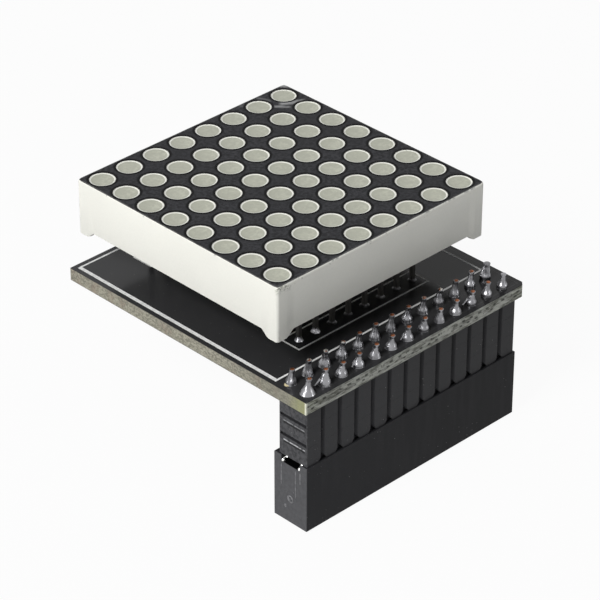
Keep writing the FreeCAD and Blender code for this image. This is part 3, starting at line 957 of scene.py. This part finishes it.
class CellsOperator(bpy.types.Operator):
    """Make the resin in the cells, and finish the die board and the sealed back."""

    bl_idname = "dot_matrix.cells"
    bl_label = "Cells"

    def execute(self, context):
        settings = context.scene.dot_display
        resin = cell_finish("cell_resin", tuple(settings.resin), settings)
        low, high = corners("display_case")
        resin_top = corners("cell_resin")[1][2]
        radius = settings.cell_radius - settings.lip - 0.002 * MM
        lens, faces = self.lens(radius, high[2] - settings.recess, resin_top - 0.05 * MM)
        centres = cell_centres(settings.pitch, settings.cells) + (low + high)[:2] / 2
        lenses = np.broadcast_to(lens, (len(centres), *lens.shape)).copy()
        lenses[..., :2] += centres[:, None]
        lenses = lenses.reshape(-1, 3)
        faces = repeated(faces, len(lens), len(centres))
        make_piece("cell_lenses", [resin], [(lenses, faces, 0)])
        dress("cell_resin", resin)
        dress("die_board", laminate_finish("die_laminate"))
        dress("back_resin", sealant_finish("back_sealant"))
        return {"FINISHED"}

    def lens(self, radius, top, floor):
        """A disc with a raised rim: z = top + 0.045 (r / R)^8 mm, then straight down."""
        share = np.array([0, 0.35, 0.7, 0.86, 0.94, 0.98, 1.0])
        r = np.concatenate([share * radius, [radius, 0]])
        z = np.concatenate([top + 0.045 * MM * share ** 8, [floor, floor]])
        return turned(r, z, (0, 0, 0), 36)


class BoardOperator(bpy.types.Operator):
    """Make the carrier board, the lines printed on it and its bare pads."""

    bl_idname = "dot_matrix.board"
    bl_label = "Carrier board"

    def execute(self, context):
        settings = context.scene.dot_board
        finish = board_finish("board_mask", settings)
        softened("carrier_board", finish, 0.04 * MM, "board_panel")
        low, high = corners("carrier_board")
        self.legend(settings, low[2], high[2])
        self.pads(tuple(context.scene.dot_joints.tin), low[2])
        return {"FINISHED"}

    def legend(self, settings, floor, top):
        """The printed lines: one round the display, bolder on its left, and boxes round its
        pin rows and the parts under the board. Each is sunk a little into the mask."""
        low, high = corners("display_case")
        sunk, film = 0.01 * MM, settings.film
        above, below = (top - sunk, top + film), (floor - film, floor + sunk)
        left = low[0] - 0.25 * MM
        bold_left = left - settings.line / 2
        lines = [
            band(left, high[0], low[1], high[1], settings.line, *above),
            block(
                (bold_left, low[1], top - sunk),
                (bold_left + settings.bold_line, high[1], top + film * 1.2),
            ),
        ]
        half, before, after = 1.42 * MM, 1.1 * MM, 0.85 * MM
        for row in ROWS:
            low, high = corners(f"display_pins_{row}")
            middle = (low[1] + high[1]) / 2
            for level in (above, below):
                lines.append(band(
                    low[0] - before, high[0] + after, middle - half, middle + half,
                    settings.thin_line, *level,
                ))
        for node, clear_x, clear_y, width in (
            ("driver_chip", 0.3 * MM, -0.6 * MM, settings.thin_line),
            ("capacitor", 0.6 * MM, 0.4 * MM, 0.15 * MM),
            ("resistor", 0.6 * MM, 0.4 * MM, 0.15 * MM),
        ):
            low, high = corners(node)
            lines.append(band(
                low[0] - clear_x, high[0] + clear_x, low[1] - clear_y, high[1] + clear_y,
                width, *below,
            ))
        ink = legend_finish("legend_ink", tuple(settings.legend))
        make_piece("board_legend", [ink], [(*line, 0) for line in lines])

    def pads(self, tint, floor):
        """Washers round the display's pins, and plates under the chip's leads and the small
        parts' caps."""
        tin = metal_finish("pad_tin", tint, 0.3, 0.2 * MM, 0.3)
        thickness = 0.03 * MM
        under, over = floor - thickness, floor + thickness
        hole, rim = 0.3 * MM, 0.86 * MM
        pads = [
            turned([hole, rim, rim, hole], [under, under, over, over], (x, y, 0), 32, closed=True)
            for row in ROWS for x, y in pin_places(f"display_pins_{row}")
        ]
        plates = []
        low, high = corners("driver_leads")
        half, outside, inside = 0.3 * MM, 0.35 * MM, 1.1 * MM
        for k in range(LEADS_A_SIDE):
            x = (low[0] + high[0]) / 2 + (k - (LEADS_A_SIDE - 1) / 2) * LEAD_PITCH
            plates.append((x - half, x + half, low[1] - outside, low[1] + inside))
            plates.append((x - half, x + half, high[1] - inside, high[1] + outside))
        for node in ("capacitor", "resistor"):
            low, high = corners(node)
            inside, beside = 0.5 * MM, 0.1 * MM
            y0, y1 = low[1] - beside, high[1] + beside
            plates.append((low[0] - outside, low[0] + inside, y0, y1))
            plates.append((high[0] - inside, high[0] + outside, y0, y1))
        pads += [block((x0, y0, under), (x1, y1, over)) for x0, x1, y0, y1 in plates]
        make_piece("board_pads", [tin], [(*pad, 0) for pad in pads])


# the front row's drawn-out threads of solder, by joint: where each ends, in millimetres
THREADS = {1: (-1.25, 0.35), 3: (-0.95, 0.1), 6: (-0.95, 0.2), 10: (-1.1, 0.35)}

# what sets some header joints apart, in millimetres where it is a length
LAST_JOINT = {"belly": 0.1, "base": 0.64, "spread": 0.62, "power": 1.3, "lean": (0.28, 0.05)}
ODD_JOINTS = {
    ("front", 0): {"base": 0.86, "taller": 0.3, "spread": 0.66, "power": 1.6},
    ("front", 1): {"base": 0.76, "taller": 0.3, "spread": 0.86, "power": 1.3},
    ("front", 11): LAST_JOINT,
    ("front", 12): LAST_JOINT,
    ("back", 0): {"flutes": 0.16},
    ("back", 1): {"flutes": 0.16},
    ("back", 2): {"flutes": 0.16},
    ("back", 11): LAST_JOINT,
    ("back", 12): {
        **LAST_JOINT, "neck": 0.4, "base": 0.6, "spread": 0.9, "flutes": 0.24, "count": 3,
    },
}


class JointsOperator(bpy.types.Operator):
    """Make the solder joints of the header and the display."""

    bl_idname = "dot_matrix.joints"
    bl_label = "Solder joints"

    def execute(self, context):
        settings = context.scene.dot_joints
        tint, copper_tint = tuple(settings.solder), tuple(settings.copper)
        solder = metal_finish("joint_solder", tint, 0.2, 0.26 * MM, 0.7)
        # painted shade: a darkened copy of the solder, for the fillets in shade under the display
        shaded_solder = metal_finish("solder_in_painted_shade", shade(tint, 0.22), 0.3, 0.2 * MM, 0.7)
        caps = {
            "front": metal_finish("cut_copper", copper_tint, 0.35, 0.1 * MM, 0.5),
            "back": metal_finish(
                "smeared_copper", shade(copper_tint, 0.8), 0.35, 0.1 * MM, 0.5,
                smeared=tuple(settings.tin),
            ),
        }
        flux = Finish("flux", Roughness=0.25)
        lumps = flux.noise(0.2 * MM)
        flux.set(Base_Color=flux.mix(lumps, srgb(176, 160, 118), srgb(222, 212, 176)))
        random = np.random.default_rng(settings.seed)
        low, high = corners("carrier_board")
        floor, top = low[2], high[2]
        for row in ROWS:
            tip = corners(f"contacts_{row}")[1][2] - top
            parts = []
            for k, (x, y) in enumerate(pin_places(f"contacts_{row}")):
                parts += self.joint(settings, random, row, k, (x, y, top), tip)
            make_piece(
                f"header_joints_{row}", [solder, caps[row], flux], parts,
                [f"header_solder_{row}"],
            )
        for row in ROWS:
            parts = []
            for k, (x, y) in enumerate(pin_places(f"display_pins_{row}")):
                parts.append((*self.underside_joint(random, (x, y, floor)), 0))
                # the first two front fillets take the bright solder, the rest its painted-shade copy
                bright = row == "front" and k < 2
                parts.append((*self.fillet(random, (x, y, top), bright), 0 if bright else 1))
            make_piece(
                f"display_joints_{row}", [solder, shaded_solder], parts,
                [f"display_solder_{row}"],
            )
        return {"FINISHED"}

    def joint(self, settings, random, row, k, centre, tip):
        """Radius over height: neck + (base - neck) (1 - t / s)^p below t = s, plus a belly,
        exp(-((t - 0.22) / 0.16)^2), less a waist, 0.03 mm exp(-((t - 0.8) / 0.1)^2)."""
        shape = {
            "base": settings.base / MM * random.uniform(0.98, 1.16),
            "belly": random.uniform(0.03, 0.1),
            "lean": random.uniform(-0.05, 0.05, 2) + np.array([0.12, -0.1]),
            "flutes": random.uniform(0.0, 0.03),
            "phase": random.uniform(0, 6.28),
            "short": random.uniform(-0.04, -0.01),
            "spread": random.uniform(0.64, 0.84),
            "power": random.uniform(1.35, 1.8),
            "neck": settings.neck / MM,
            "count": 5,
            "taller": 0.0,
            **ODD_JOINTS.get((row, k), {}),
        }
        neck, base, belly = (shape[name] * MM for name in ("neck", "base", "belly"))
        lean = np.array(shape["lean"]) * MM
        height = tip + (shape["short"] + shape["taller"]) * MM
        t = np.linspace(0, 1, 24)
        radius = neck + (base - neck) * np.clip(1 - t / shape["spread"], 0, 1) ** shape["power"]
        radius = radius + belly * np.exp(-((t - 0.22) / 0.16) ** 2)
        radius = radius - 0.03 * MM * np.exp(-((t - 0.8) / 0.1) ** 2)
        soft = 0.05 * MM
        radius = np.concatenate([[0], radius, [neck - soft, 0]])
        z = np.concatenate([[-0.02 * MM], t * height, [height + soft * 0.6, height + soft * 0.6]])
        parts = [(*turned(
            radius, z, centre, 28, lean, shape["flutes"], shape["count"], shape["phase"],
        ), 0)]
        if k < HEADER_PINS - 1:
            cut = neck * 0.74
            top = (centre[0] + lean[0], centre[1] + lean[1], centre[2] + height + 0.01 * MM)
            cap_height = np.array([-0.06, -0.06, 0.07, 0.1, 0.1]) * MM
            parts.append((*turned([0, cut, cut, cut * 0.8, 0], cap_height, top, 16), 1))
        if row == "front" and k in THREADS:
            parts.append((*self.thread(centre, np.array(THREADS[k]) * MM), 0))
        if row == "back" and k == 0:
            beside = (centre[0] - 0.45 * MM, centre[1] + 0.05 * MM, centre[2])
            parts.append((*turned(
                np.array([0, 0.36, 0.35, 0.24, 0]) * MM, np.array([-0.01, 0, 0.08, 0.15, 0.18]) * MM,
                beside, 20,
            ), 2))
        return parts

    def thread(self, centre, end):
        """A drawn-out thread of solder from the joint's side to a small drop on the board:
        straight in plan, and 0.08 + 0.75 (1 - t)^1.3 mm above the board."""
        t = np.linspace(0, 1, 11)
        path = np.column_stack([
            centre[0] + end[0] * (0.3 + 0.7 * t),
            centre[1] + end[1] * (0.3 + 0.7 * t),
            centre[2] + 0.08 * MM + 0.75 * MM * (1 - t) ** 1.3,
        ])
        inner = t[1:-1]
        drop = 0.05 * MM * np.exp(-((inner - 0.88) / 0.1) ** 2)
        thick = 0.13 * MM * (1 - inner) + 0.05 * MM + drop
        return tube(path, np.concatenate([[0], thick, [0]]))

    def fillet(self, random, centre, bright):
        """The low dome that solder leaves round a display pin on the upper side:
        pin + (base - pin) (1 - t)^1.7. The bright ones stand higher."""
        t = np.linspace(0, 1, 8)
        pin = 0.3 * MM
        base, rise = random.uniform(0.46, 0.58) * MM, random.uniform(0.16, 0.3) * MM
        if bright:
            rise *= 2.4
        radius = np.concatenate([[0], pin + (base - pin) * (1 - t) ** 1.7, [0]])
        z = np.concatenate([[-0.02 * MM], t * rise, [rise + 0.02 * MM]])
        return turned(radius, z, centre, 24, flutes=0.08, count=3, phase=random.uniform(0, 6))

    def underside_joint(self, random, centre):
        """The header joints' curve downwards, over the end of a display pin:
        neck + (base - neck) (1 - t / 0.75)^1.8."""
        t = np.linspace(0, 1, 16)
        neck = 0.36 * MM
        base = random.uniform(0.66, 0.74) * MM
        height = random.uniform(1.02, 1.1) * MM
        radius = neck + (base - neck) * np.clip(1 - t / 0.75, 0, 1) ** 1.8
        radius = np.concatenate([[0], radius, [0.3 * MM, 0.16 * MM, 0]])
        z = np.concatenate([[0.02 * MM], -t * height, -height - np.array([0.04, 0.07, 0.08]) * MM])
        return turned(radius, z, centre, 24, flutes=0.03, count=4, phase=random.uniform(0, 6))


class ContactsOperator(bpy.types.Operator):
    """Make the header's contacts and finish the display's pins."""

    bl_idname = "dot_matrix.contacts"
    bl_label = "Contacts"

    def execute(self, context):
        tint = tuple(context.scene.dot_joints.tin)
        drawn = (1, 1, 0.2)
        tin = metal_finish("contact_tin", tint, 0.22, 0.25 * MM, 0.3, drawn)
        # painted highlight: tin brightened almost to white, so the tail's studs show as glints
        bright = metal_finish("contact_tips_painted_glint", srgb(252, 252, 250), 0.12, 0.2 * MM, 0.1)
        top = corners("carrier_board")[1][2] + 0.3 * MM
        channel = corners("socket_housing")[1][2] - 0.75 * MM
        for row, reach in (("front", 0.35 * MM), ("back", 0.62 * MM)):
            low, high = corners(f"contacts_{row}")
            half = (high[1] - low[1]) / 2
            places = pin_places(f"contacts_{row}")
            x, y = places[0]
            parts = [(*self.contact(*place, half, low[2], top), 0) for place in places]
            parts += [(*part, 1) for part in self.tail(x - 1.1 * MM, y, channel, reach)]
            make_piece(
                f"contact_forks_{row}", [tin, bright], parts,
                [f"contacts_{row}"],
            )
        # painted shade: the display's tinned pins darkened almost to black, for the shade under the
        # display
        shaded_pin_tin = metal_finish("display_pin_tin_in_painted_shade", shade(tint, 0.12), 0.4, 0.25 * MM, 0.5, drawn)
        for row in ROWS:
            softened(f"display_pins_{row}", shaded_pin_tin, 0.05 * MM)
        return {"FINISHED"}

    def tail(self, x, y, floor, reach):
        """The first contact's tail: a bright stud on the floor of the socket's notch, and a
        strip that bends as t^2 from it to a smaller stud at the notch's upper edge."""
        stud = turned(
            np.array([0, 0.22, 0.22, 0.16, 0]) * MM, np.array([-0.02, 0, 0.14, 0.28, 0.32]) * MM,
            (x, y, floor), 16,
        )
        t = np.linspace(0, 1, 9)
        path = np.column_stack([
            x - 0.03 * MM * t, y - reach * t ** 2, floor + 0.14 * MM + 0.68 * MM * t,
        ])
        ball = turned(
            np.array([0, 0.1, 0.16, 0.1, 0]) * MM, np.array([-0.14, -0.1, 0, 0.1, 0.14]) * MM,
            path[-1], 14,
        )
        return stud, rod(path, 0.05 * MM), ball

    def contact(self, x, y, half, floor, top):
        """A fork with two beams below its shoulder and a square pin above it: the outline in
        X and Z is drawn out by half to each side in Y."""
        shoulder, root, taper = 6.4 * MM, 5.7 * MM, 0.14 * MM
        outer, inner = 0.5 * MM, 0.28 * MM
        right = [
            (inner, root), (inner - 0.1 * MM, floor + 1.0 * MM), (inner + 0.06 * MM, floor),
            (outer - 0.04 * MM, floor), (outer, floor + 0.8 * MM), (outer, shoulder),
            (half, shoulder + taper), (half, top),
        ]
        outline = np.array(right + [(-px, pz) for px, pz in reversed(right)])
        count = len(outline)
        points = np.concatenate([
            np.column_stack([x + outline[:, 0], np.full(count, y + side), outline[:, 1]])
            for side in (-half, half)
        ])
        walls = grid(2, count)
        caps = np.stack([np.arange(count), np.arange(2 * count)[:count - 1:-1]])
        if signed_area(outline) < 0:
            walls, caps = walls[:, ::-1], caps[:, ::-1]
        return points, [walls, caps]


def signed_area(outline):
    """Half the sum of x z' - x' z round an outline."""
    following = np.roll(outline, -1, axis=0)
    return (outline[:, 0] * following[:, 1] - following[:, 0] * outline[:, 1]).sum() / 2


class InsulatorsOperator(bpy.types.Operator):
    """Soften and finish the three ribbed insulators."""

    bl_idname = "dot_matrix.insulators"
    bl_label = "Insulators"

    def execute(self, context):
        settings = context.scene.dot_plastic
        low, high = corners("spacer_middle")
        drop = 0.45 * MM
        finish = black_finish(
            "insulator_plastic", tuple(settings.insulator), (low, high), srgb(76, 76, 78),
            # the slots in the ends get a painted highlight and a painted shadow at these heights
            ridges=((low[2] - drop, 0.9), (high[2] - drop, 0.4)),
        )
        for level in ("bottom", "middle", "top"):
            softened(f"spacer_{level}", finish, 0.02 * MM)
        return {"FINISHED"}


class SocketOperator(bpy.types.Operator):
    """Soften and finish the socket, and add the marks its mould left on one end."""

    bl_idname = "dot_matrix.socket"
    bl_label = "Socket"

    def execute(self, context):
        settings = context.scene.dot_plastic
        box = corners("socket_housing")
        finish = black_finish(
            "socket_plastic", tuple(settings.socket), box, srgb(87, 87, 89), roughness=0.46,
            # the channel is the groove along the top, painted near black as shade
            flow=0.25, broken=0.2, gloss=0.08, channel=1.46 * MM,
        )
        softened("socket_housing", finish, settings.softness)
        scuffed = black_finish(
            "scuffed_plastic", srgb(104, 104, 106), box, srgb(132, 132, 134), roughness=0.4,
        )
        make_piece(
            "socket_marks", [finish, scuffed], self.marks(box[0][0]),
        )
        return {"FINISHED"}

    def marks(self, face):
        """Lines and a gate scar on the end that faces -X: thin raised ribs, and a ring with a
        broken stub inside it."""
        parts = []
        rib_top = 7.5 * MM
        t = np.linspace(0, 1, 12)
        for y, bottom in ((-0.8 * MM, 3.7 * MM), (-1.5 * MM, 5.9 * MM), (1.4 * MM, 4.6 * MM)):
            path = np.column_stack([
                np.full(12, face + 0.01 * MM), np.full(12, y), bottom + t * (rib_top - bottom),
            ])
            parts.append((*rod(path, 0.06 * MM), 1))
        gate = np.array([face, -0.1 * MM, 3.3 * MM])
        parts.append((*self.scar(gate, 0.36 * MM, 0.14 * MM), 1))
        parts.append((*self.scar((face, 0.72 * MM, 2.1 * MM), 0.12 * MM, 0.09 * MM), 1))
        points, faces = turned(
            np.array([0, 0.2, 0.15, 0]) * MM, np.array([-0.02, 0, 0.07, 0.08]) * MM, (0, 0, 0), 14,
        )
        sideways = np.column_stack([-points[:, 2], points[:, 0], points[:, 1] - 0.1 * MM])
        parts.append((gate + sideways, outward(sideways, faces), 0))
        return parts

    def scar(self, centre, radius, thick, sides=28):
        """An uneven ring about the X axis: y = R(a) cos a and z = R(a) sin a, where R is the
        radius times 1 + 0.15 sin(a + 1) + 0.1 sin 2a, with a round section of thickness
        0.75 + 0.35 sin(a + 2) + 0.2 sin(3a + 1)."""
        a, b = angles(sides)[:, None], angles(8)[None]
        uneven = 0.75 + 0.35 * np.sin(a + 2) + 0.2 * np.sin(3 * a + 1)
        ring = radius * (1 + 0.15 * np.sin(a + 1) + 0.1 * np.sin(2 * a))
        reach = ring + thick * np.cos(b) * uneven
        points = np.stack([
            centre[0] - thick * 0.7 * np.sin(b) + 0 * a,
            centre[1] + reach * np.cos(a),
            centre[2] + reach * np.sin(a),
        ], -1).reshape(-1, 3)
        return points, outward(points, grid(sides, 8, closed=True))


class DriverOperator(bpy.types.Operator):
    """Soften and finish the parts under the board."""

    bl_idname = "dot_matrix.driver"
    bl_label = "Parts under the board"

    def execute(self, context):
        tint = tuple(context.scene.dot_plastic.chip)
        chip = black_finish(
            "chip_plastic", tint, corners("driver_chip"), tint, roughness=0.55,
        )
        tin = metal_finish(
            "lead_tin", tuple(context.scene.dot_joints.tin), 0.26, 0.2 * MM, 0.3,
        )
        ceramic = capped_finish("capacitor", srgb(158, 128, 92))
        glaze = capped_finish("resistor", srgb(32, 32, 34))
        softened("driver_chip", chip, 0.08 * MM)
        softened("driver_leads", tin, 0.04 * MM)
        softened("capacitor", ceramic, 0.04 * MM)
        softened("resistor", glaze, 0.03 * MM)
        return {"FINISHED"}


class StageOperator(bpy.types.Operator):
    """Make the pale floor, the soft lamps and the camera."""

    bl_idname = "dot_matrix.stage"
    bl_label = "Stage"

    def execute(self, context):
        settings = context.scene.dot_stage
        scene = context.scene
        scene.view_settings.view_transform = "Standard"
        self.floor(scene, settings)
        self.sky(scene, settings)
        self.lamp(scene, "key", (-0.62, -0.05, 0.6), 0.26, 0.26, settings.key)
        streak_lamp = self.lamp(scene, "streak", (0.42, -0.62, 0.22), 0.05, 0.3, 0.6)
        glint = self.lamp(scene, "glint", (-0.66, 0.1, 0.14), 0.16, 0.3, 2.4)
        for lamp in (streak_lamp, glint):
            lamp.visible_diffuse = False
        self.camera(scene, settings)
        return {"FINISHED"}

    def floor(self, scene, settings):
        """A sheet of paper just under the socket, which the camera sees as white."""
        half, drop = 3, 0.02 * MM
        mesh = bpy.data.meshes.new("floor")
        points = np.column_stack([CORNERS * half, np.full(4, -drop)])
        mesh.from_pydata(points, [], [(0, 1, 2, 3)])
        floor = bpy.data.objects.new("floor", mesh)
        scene.collection.objects.link(floor)
        finish = Finish("floor_paper", Roughness=0.8, Specular_IOR_Level=0.1)
        tint = tuple(settings.floor)
        finish.set(Base_Color=finish.mix(finish.noise(0.4 * MM), shade(tint, 0.99), tint))
        glow = finish.node("ShaderNodeEmission", (), {"Color": WHITE, "Strength": 1.0})
        paper = Value(finish, finish.shader.outputs[0])
        share = finish.seen() * 0.95
        mixed = finish.node("ShaderNodeMixShader", (), {0: share, 1: paper, 2: glow})
        finish.put(finish.tree.nodes["Material Output"].inputs["Surface"], mixed)
        mesh.materials.append(finish.material)

    def sky(self, scene, settings):
        """Even, faintly blue light on the object, which the camera sees as white."""
        world = bpy.data.worlds.new("studio")
        scene.world = world
        world.use_nodes = True
        nodes = Nodes(world.node_tree)
        seen = nodes.seen()
        strength = nodes.node(
            "ShaderNodeMapRange", (), {"Value": seen, "To Min": settings.sky, "To Max": 1.0},
        )
        background = world.node_tree.nodes["Background"].inputs
        nodes.put(background["Color"], nodes.mix(seen, (0.93, 0.96, 1), WHITE))
        nodes.put(background["Strength"], strength)

    def lamp(self, scene, name, place, width, height, power):
        """A rectangular lamp that looks at the middle of the object."""
        light = bpy.data.lights.new(name, "AREA")
        light.shape = "RECTANGLE"
        light.size, light.size_y, light.energy = width, height, power
        lamp = bpy.data.objects.new(name, light)
        scene.collection.objects.link(lamp)
        middle = (SOLIDS_BOX[0] + SOLIDS_BOX[1]) / 2
        lamp.location = Vector(place)
        lamp.rotation_mode = "QUATERNION"
        lamp.rotation_quaternion = (middle - lamp.location).to_track_quat("-Z", "Y")
        return lamp

    def camera(self, scene, settings):
        """The photograph's view: its place, its line of sight and its upright are fitted."""
        data = bpy.data.cameras.new("camera")
        data.lens = settings.lens
        data.sensor_width = 36
        data.clip_start = 0.01
        camera = bpy.data.objects.new("camera", data)
        scene.collection.objects.link(camera)
        place = Vector((-202.371, -191.460, 197.175)) * MM
        forward = Vector((0.5913529, 0.6046490, -0.5335742)).normalized()
        right = Vector((0.7153236, -0.6987928, 0.0009077))
        right = (right - forward * right.dot(forward)).normalized()
        turn = Matrix((right, right.cross(forward), -forward)).transposed().to_4x4()
        camera.matrix_world = Matrix.Translation(place) @ turn
        scene.camera = camera


OPERATORS = (
    CaseOperator, CellsOperator, BoardOperator, JointsOperator, ContactsOperator,
    InsulatorsOperator, SocketOperator, DriverOperator, StageOperator,
)

SETTINGS = {
    "dot_display": DisplaySettings,
    "dot_board": BoardSettings,
    "dot_joints": JointSettings,
    "dot_plastic": PlasticSettings,
    "dot_stage": StageSettings,
}


class DotMatrixPanel(bpy.types.Panel):
    """The operators of this add-on, in the order in which they are used."""

    bl_idname = "VIEW3D_PT_dot_matrix"
    bl_label = "Dot Matrix"
    bl_space_type = "VIEW_3D"
    bl_region_type = "UI"
    bl_category = "Dot Matrix"

    def draw(self, context):
        for each in OPERATORS:
            self.layout.operator(each.bl_idname)


def register():
    for name, group in SETTINGS.items():
        bpy.utils.register_class(group)
        setattr(bpy.types.Scene, name, PointerProperty(type=group))
    for each in (*OPERATORS, DotMatrixPanel):
        bpy.utils.register_class(each)


def unregister():
    for each in (DotMatrixPanel, *reversed(OPERATORS)):
        bpy.utils.unregister_class(each)
    for name, group in reversed(SETTINGS.items()):
        delattr(bpy.types.Scene, name)
        bpy.utils.unregister_class(group)


def main():
    register()
    for each in OPERATORS:
        family, name = each.bl_idname.split(".")
        getattr(getattr(bpy.ops, family), name)()
    bpy.context.view_layer.update()


if __name__ == "__main__":
    main()
